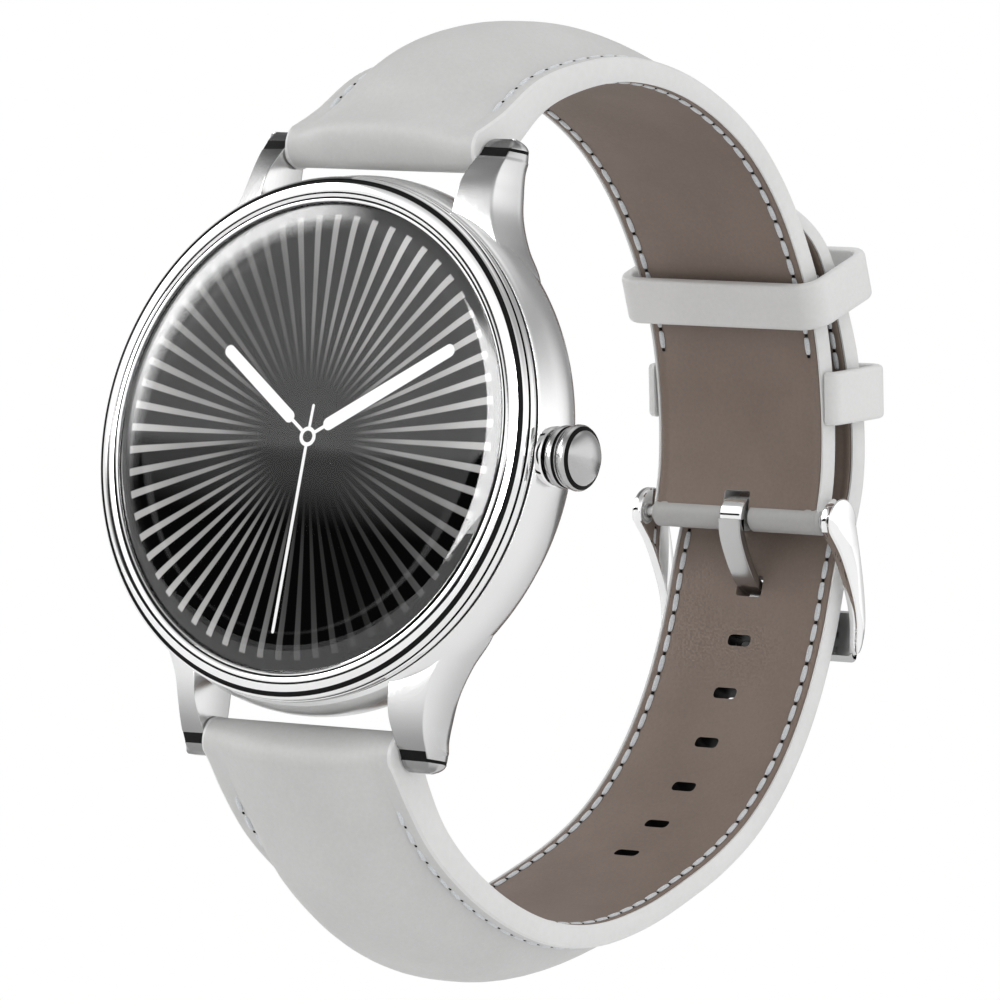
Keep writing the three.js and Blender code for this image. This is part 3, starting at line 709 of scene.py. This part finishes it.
def strap_lining(name, half, body, replaced, first, last):
    """The lining between two arc fractions as one closed skin."""
    steps = int(half.length * (last - first) / 0.6)
    fractions = [first + (last - first) * k / steps for k in range(steps + 1)]
    points = [half.place(f, x, t) for f in fractions for x, t in lining_section(half, f)]
    size = len(lining_section(half, 0.5))
    faces = grid_faces(len(fractions), size, closed_columns=True)
    faces += [list(range(size)), [len(points) - size + i for i in range(size)]]
    return make_piece(name, points, faces, brown_lining, body, replaced, sharp=50)


def capsule(half, f, x, t, long, wide, high, rings=8, sides=8):
    """A stitch: a long rounded bead lying along the strap."""
    at, along, out = half.station(f)
    points = []
    for i in range(rings + 1):
        turn = math.pi * i / rings
        run = -math.cos(turn) * long / 2
        girth = max(math.sin(turn) ** 0.35, 0.02)
        for j in range(sides):
            spin = 2 * math.pi * j / sides
            y, z = at + along * run + out * (t + math.sin(spin) * girth * high / 2)
            points.append((x + math.cos(spin) * girth * wide / 2, y, z))
    return points, grid_faces(rings + 1, sides, closed_columns=True)


PITCH = 1.9  # of the stitches


def stitch_rows(name, half, body, runs, inset, level, long, wide):
    """Stitches and the needle holes between them, on both sides of the strap; the holes are black beads of
    painted shade.
    """
    step = PITCH / half.length
    beads, holes = [], []
    for f in [first + (k + 0.5) * step for first, last in runs for k in range(int((last - first) / step))]:
        gap = f + step / 2
        for side in (1, -1):
            x = side * (half.half_width(f) - inset)
            beads.append(capsule(half, f, x, level(f), long, wide, 0.3))
            holes.append(capsule(half, gap, x, level(gap), 0.3, wide * 0.6, 0.14, 4, 6))
    points, faces = joined(*beads)
    make_piece(name, points, faces, thread, body, sharp=60)
    # Black beads at the needle holes: painted shade.
    points, faces = joined(*holes)
    make_piece(name + "_holes", points, faces, black_and_painted_shade, body, sharp=60)


def cut(piece, cutters, look):
    """Cuts solids, given as (points, faces), out of a piece. The cut faces get their own look."""
    points, faces = joined(*cutters)
    tool = make_piece(piece.name + "_tool", points, faces, look, "case")
    modifier = piece.modifiers.new("cut", "BOOLEAN")
    modifier.operation = "DIFFERENCE"
    modifier.solver = "EXACT"
    modifier.material_mode = "TRANSFER"
    modifier.object = tool
    bpy.context.view_layer.update()
    shape = bpy.data.meshes.new_from_object(piece.evaluated_get(bpy.context.evaluated_depsgraph_get()))
    piece.modifiers.clear()
    shape.set_sharp_from_angle(angle=math.radians(30))
    piece.data = shape
    bpy.data.objects.remove(tool)


def slot_cutter(half, f, long, run, corner):
    """A rounded slot through the strap: long across it, run along it."""
    at, along, out = half.station(f)
    corners = ((1, 1), (-1, 1), (-1, -1), (1, -1))
    outline = filleted([(x * long / 2, r * run / 2, corner) for x, r in corners])
    points = []
    for level in (-1.5, 7):
        for x, r in outline:
            y, z = at + along * r + out * level
            points.append((x, y, z))
    size = len(outline)
    faces = grid_faces(2, size, closed_columns=True)
    return points, faces + [list(range(size)), [size + i for i in range(size)]]


def hole_fractions():
    """Arc fractions of the strap holes, the one that the tongue is in first."""
    gaps = np.linalg.norm(LOWER.curve - np.array(USED_HOLE), axis=1)
    used = int(np.argmin(gaps)) / CURVE_STEPS
    return [used - k * HOLE_PITCH / LOWER.length for k in range(HOLE_COUNT)]


def build_straps():
    """Both strap halves with their linings, cut-outs, stitches and the leather round the buckle bar."""
    upper = strap_leather("upper_strap", UPPER, "upper_strap", ["upper_strap_leather"], bar_end=True)
    upper_lining = strap_lining("upper_lining", UPPER, "upper_strap", ["upper_strap_lining"], 0.035, 1.0)
    lower = strap_leather("lower_strap", LOWER, "lower_strap", ["lower_strap_leather"], bar_end=False)
    lower_lining = strap_lining("lower_lining", LOWER, "lower_strap", ["lower_strap_lining"], 0.02, 0.985)

    notch = prism([(BAR_Y - 4, BAR_Z - 3), (BAR_Y + 4, BAR_Z - 3), (BAR_Y + 4, BAR_Z + EYE_R + 0.5),
                   (BAR_Y - 4, BAR_Z + EYE_R + 0.3)], -NOTCH_HALF, NOTCH_HALF, 0.3)
    for piece in (upper, upper_lining):
        # The notch walls get the darker leather: painted shade.
        cut(piece, [notch], wrap_leather_painted_shade)
    fractions = hole_fractions()
    for piece in (lower, lower_lining):
        cut(piece, [slot_cutter(LOWER, fractions[0], 2.7, 1.9, 0.35)], brown_lining)
        # The free holes' walls are black: painted shade inside the holes.
        cut(piece, [slot_cutter(LOWER, f, 2.4, 1.05, 0.5) for f in fractions[1:]], black_and_painted_shade)

    for name, half, body, runs in (("upper", UPPER, "upper_strap", [(0.05, 0.83)]),
                                   ("lower", LOWER, "lower_strap", [(0.035, 0.735), (0.85, 0.93)])):
        stitch_rows(name + "_inner_stitches", half, body, runs, STITCH_IN, lambda f: 0.02, 1.6, 0.55)
        stitch_rows(name + "_outer_stitches", half, body, [(runs[0][0], runs[-1][1])], STITCH_OUT,
                    lambda f, half=half: half.thickness(f) - 0.02, 1.45, 0.45)

    end = 8.9  # x where the leather round the buckle bar stops
    wraps = []
    for x0, x1 in ((-end, -NOTCH_HALF), (NOTCH_HALF, end)):
        profile = [(x0, 0.85), (x0, BAR_WRAP - 0.2), (x0 + 0.2, BAR_WRAP + 0.02),
                   (x1 - 0.2, BAR_WRAP + 0.02), (x1, BAR_WRAP - 0.2), (x1, 0.85)]
        wraps.append(about_x(profile, BAR_Y, BAR_Z, 48))
    points, faces = joined(*wraps)
    # The leather round the bar is the darker copy: painted shade.
    make_piece("bar_wrap", points, faces, wrap_leather_painted_shade, "upper_strap")


# ---- Keepers ----
def keeper(name, body, replaced, y, z, angle, length, half, low, high, open_low):
    """A leather band round the strap, from its inner face at low to its outer at high.

    With open_low its ends stop at the strap's edges.
    """
    wall, corner = 1.0, 2.3
    path = []
    arcs = [(half - corner, low + corner, -90), (half - corner, high - corner, 0),
            (corner - half, high - corner, 90), (corner - half, low + corner, 180)]
    radii = [corner] * 4
    if open_low:
        tuck = 1.1
        arcs[0], arcs[3] = (half - tuck, low + tuck, -90), (tuck - half, low + tuck, 180)
        radii = [tuck, corner, corner, tuck]
    for (cx, ct, start), radius in zip(arcs, radii):
        for k in range(13):
            turn = math.radians(start + 90 * k / 12)
            path.append(((cx + radius * math.cos(turn), ct + radius * math.sin(turn)),
                         (math.cos(turn), math.sin(turn))))
    section = filleted([(0, -length / 2, 0.45), (wall, -length / 2, 0.3), (wall, length / 2, 0.3),
                        (0, length / 2, 0.45)], 5)
    c, s = math.cos(math.radians(angle)), math.sin(math.radians(angle))
    points = []
    for (px, pt), (nx, nt) in path:
        for inward, run in section:
            x, t = px - nx * inward, pt - nt * inward
            points.append((x, y + c * t - s * run, z + s * t + c * run))
    size = len(section)
    faces = grid_faces(len(path), size, closed_rows=not open_low, closed_columns=True)
    if open_low:
        faces += [list(range(size)), [len(points) - size + i for i in range(size)]]
    make_piece(name, points, faces, keeper_leather, body, replaced, sharp=50)


def build_keepers():
    keeper("loose_keeper", "sliding_keeper", ["sliding_keeper"], y=45.15, z=21.1, angle=31, length=4.2,
           half=10.75, low=-0.55, high=9.65, open_low=False)
    keeper("fixed_keeper", "upper_strap", ["sewn_keeper"], y=50.1, z=13.8, angle=15, length=4.7,
           half=10.25, low=0.0, high=9.2, open_low=True)


# ---- Buckle ----
def strip(points, thickness):
    """An outline of even thickness along a smooth line through (y, z) points."""
    line, _ = catmull_rom(points, 36, centripetal=False)
    run = np.gradient(line, axis=0)
    run /= np.linalg.norm(run, axis=1)[:, None]
    aside = np.stack([-run[:, 1], run[:, 0]], 1) * thickness / 2
    return [tuple(p) for p in line - aside] + [tuple(p) for p in (line + aside)[::-1]]


def arm_outline():
    """The (y, z) outline of a buckle arm: two curved edges and a round head about the bar."""
    lower, _ = catmull_rom([(51.5, 2.2), (53.9, 0.3), (56.4, -2.7), (57.5, -4.8), (57.9, -6.8)], 24, False)
    upper, _ = catmull_rom([(57.9, -6.8), (58.2, -7.6), (58.8, -6.9), (58.9, -4.8), (58.1, -2.1),
                            (56.8, 0.9), (55.4, 3.7)], 30, False)
    head = []
    for k in range(25):
        turn = 0.1 + (math.pi * 1.18 - 0.1) * k / 24
        head.append((53.25 + ARM_HEAD * math.cos(turn), BAR_Z + ARM_HEAD * math.sin(turn)))
    return [tuple(p) for p in lower] + [tuple(p) for p in upper[1:]] + head


def build_buckle():
    """The buckle's two arms with the plate between them, and the tongue on the same bar."""
    arm = arm_outline()
    plate = strip([(58.75, -3.8), (59.15, -5.2), (58.95, -6.9), (58.35, -8)], 0.95)
    arms = joined(prism(arm, ARM_INNER, ARM_OUTER, 0.25), prism(arm, -ARM_OUTER, -ARM_INNER, 0.25))
    points, faces = joined(arms, prism(plate, -ARM_INNER - 0.4, ARM_INNER + 0.4, 0.35))
    make_piece("buckle", points, faces, [polished_steel, dark_steel], "buckle_frame",
               ["buckle_frame"], sharp=25, marks=[k >= len(arms[1]) for k in range(len(faces))])
    outline = strip([(51.4, 3), (52, 1.4), (53.6, -0.6), (55.3, -2.1), (57.2, -2.7), (59.3, -2.7),
                     (60.7, -3.5), (61, -5)], 0.8)
    blade = prism(outline, -TONGUE_HALF, TONGUE_HALF, 0.1)
    eye = 0.82  # radius inside the loop
    loop = about_x([(-TONGUE_HALF, eye), (-TONGUE_HALF, EYE_R - 0.12), (-TONGUE_HALF + 0.12, EYE_R),
                    (TONGUE_HALF - 0.12, EYE_R), (TONGUE_HALF, EYE_R - 0.12), (TONGUE_HALF, eye)],
                   BAR_Y, BAR_Z, 64)
    points, faces = joined(blade, loop)
    make_piece("tongue", points, faces, [polished_steel, dark_steel], "buckle_tongue",
               ["buckle_tongue"], sharp=30, marks=[k < len(blade[1]) for k in range(len(faces))])


# ---- Studio ----
VIEW_AZIMUTH, VIEW_ELEVATION, VIEW_ROLL = 36.5, -5.7, 7.65
VIEW_DISTANCE = 743.5
FOCAL = 9.0  # focal length in image widths
SENSOR = 36
AIM_X, AIM_Y = -0.194, 0.064  # where the middle of the display lies, in image widths from the centre


def build_camera():
    """A long lens that looks at the display from the right and a little below."""
    a, e, roll = [math.radians(v) for v in (VIEW_AZIMUTH, VIEW_ELEVATION, VIEW_ROLL)]
    back = Vector((math.sin(a) * math.cos(e), -math.cos(a) * math.cos(e), math.sin(e)))
    level = Vector((math.cos(a), math.sin(a), 0))
    upright = back.cross(level)
    right = level * math.cos(roll) + upright * math.sin(roll)
    up = upright * math.cos(roll) - level * math.sin(roll)
    centre = Vector((0, -THICKNESS, 0))
    place = centre + back * VIEW_DISTANCE - (right * AIM_X + up * AIM_Y) * (VIEW_DISTANCE / FOCAL)
    camera = bpy.data.objects.new("camera", bpy.data.cameras.new("camera"))
    bpy.context.scene.collection.objects.link(camera)
    camera.data.sensor_width = SENSOR
    camera.data.lens = SENSOR * FOCAL
    camera.data.clip_start, camera.data.clip_end = 0.01, 20
    turn = camera.matrix_world.to_3x3()
    for row in range(3):
        turn[row][0], turn[row][1], turn[row][2] = right[row], up[row], back[row]
    camera.matrix_world = turn.to_4x4()
    camera.location = place * MM
    bpy.context.scene.camera = camera


def build_world():
    """A white studio. Reflections see soft boxes and a dark strip, the light itself is even and soft."""
    world = bpy.data.worlds.new("studio")
    bpy.context.scene.world = world
    world.use_nodes = True
    graph = Graph(world.node_tree)
    background = world.node_tree.nodes["Background"]
    where = graph.node("ShaderNodeTexCoord")
    parts = graph.node("ShaderNodeSeparateXYZ")
    world.node_tree.links.new(where.outputs["Generated"], parts.inputs[0])
    x, y, z = [Term(graph, out) for out in parts.outputs]

    def spot(direction, inner, outer):
        """1 within the inner angle of a direction, falling to 0 at the outer one."""
        d = Vector(direction).normalized()
        near = x * d.x + y * d.y + z * d.z
        return graph.step(near, math.cos(math.radians(outer)), math.cos(math.radians(inner)))

    # What reflections see: darker behind, above and below the watch
    rear = graph.step(x, 0.6, 0.15) * graph.step(y, 0.3, 0.85)
    above = graph.step(z, 0.25, 0.78) * graph.step(z, 1.1, 0.82)
    below = graph.step(z, -0.3, -0.78)
    mirror = (rear * -0.84 + 1.0) * (above * -0.86 + 1.0) * (below * -0.72 + 1.0)
    # A dark strip low on the left makes the lower half of the flat glass black
    dark = graph.step(z, -0.5, -0.3) * graph.step(z, 0.1, 0.094) * graph.step(x, -0.95, -0.75)
    dark = dark * graph.step(x, -0.1, -0.3) * graph.step(y, 0.0, -0.4)
    sheen = graph.step(x, -0.583, -0.579) * graph.step(z, 0.094, 0.1) * 0.3
    mirror = mirror * (dark * -0.985 + 1.0) + sheen
    # A bright window and a soft spot give the glare along the glass's rim
    window = graph.step(x, -0.37, -0.33) * graph.step(x, 0.14, 0.08) * graph.step(z, -0.3, -0.24)
    window = window * graph.step(z, 0.36, 0.3) * graph.step(y, 0.0, -0.5)
    mirror = mirror + spot((-0.78, -0.5, 0.37), 8, 20) * 8.0 + window * 11.0
    # Surfaces are lit evenly, a little more from above and from the right; the camera sees white
    soft = z * 0.2 + x * 0.12 + 0.93
    path = graph.node("ShaderNodeLightPath")
    glossy = Term(graph, path.outputs["Is Glossy Ray"])
    camera_ray = Term(graph, path.outputs["Is Camera Ray"])
    light = soft + (mirror - soft) * glossy
    light = light + (light * -1.0 + 1.0) * camera_ray
    graph.feed(background.inputs["Color"], light)


def build_floor():
    """A plain pale floor well below the watch."""
    size, level = 1500 * MM, -110 * MM
    mesh = bpy.data.meshes.new("floor")
    corners = ((-size, -size), (size, -size), (size, size), (-size, size))
    mesh.from_pydata([(x, y, level) for x, y in corners], [], [[0, 1, 2, 3]])
    floor = bpy.data.objects.new("floor", mesh)
    bpy.context.scene.collection.objects.link(floor)
    mesh.materials.append(moulded("floor_paint", grey(0.85), 0.7, 0.05))


bpy.context.scene.view_settings.view_transform = "Standard"
build_camera()
build_world()
build_floor()
build_case()
build_back()
build_crown()
build_straps()
build_keepers()
build_buckle()
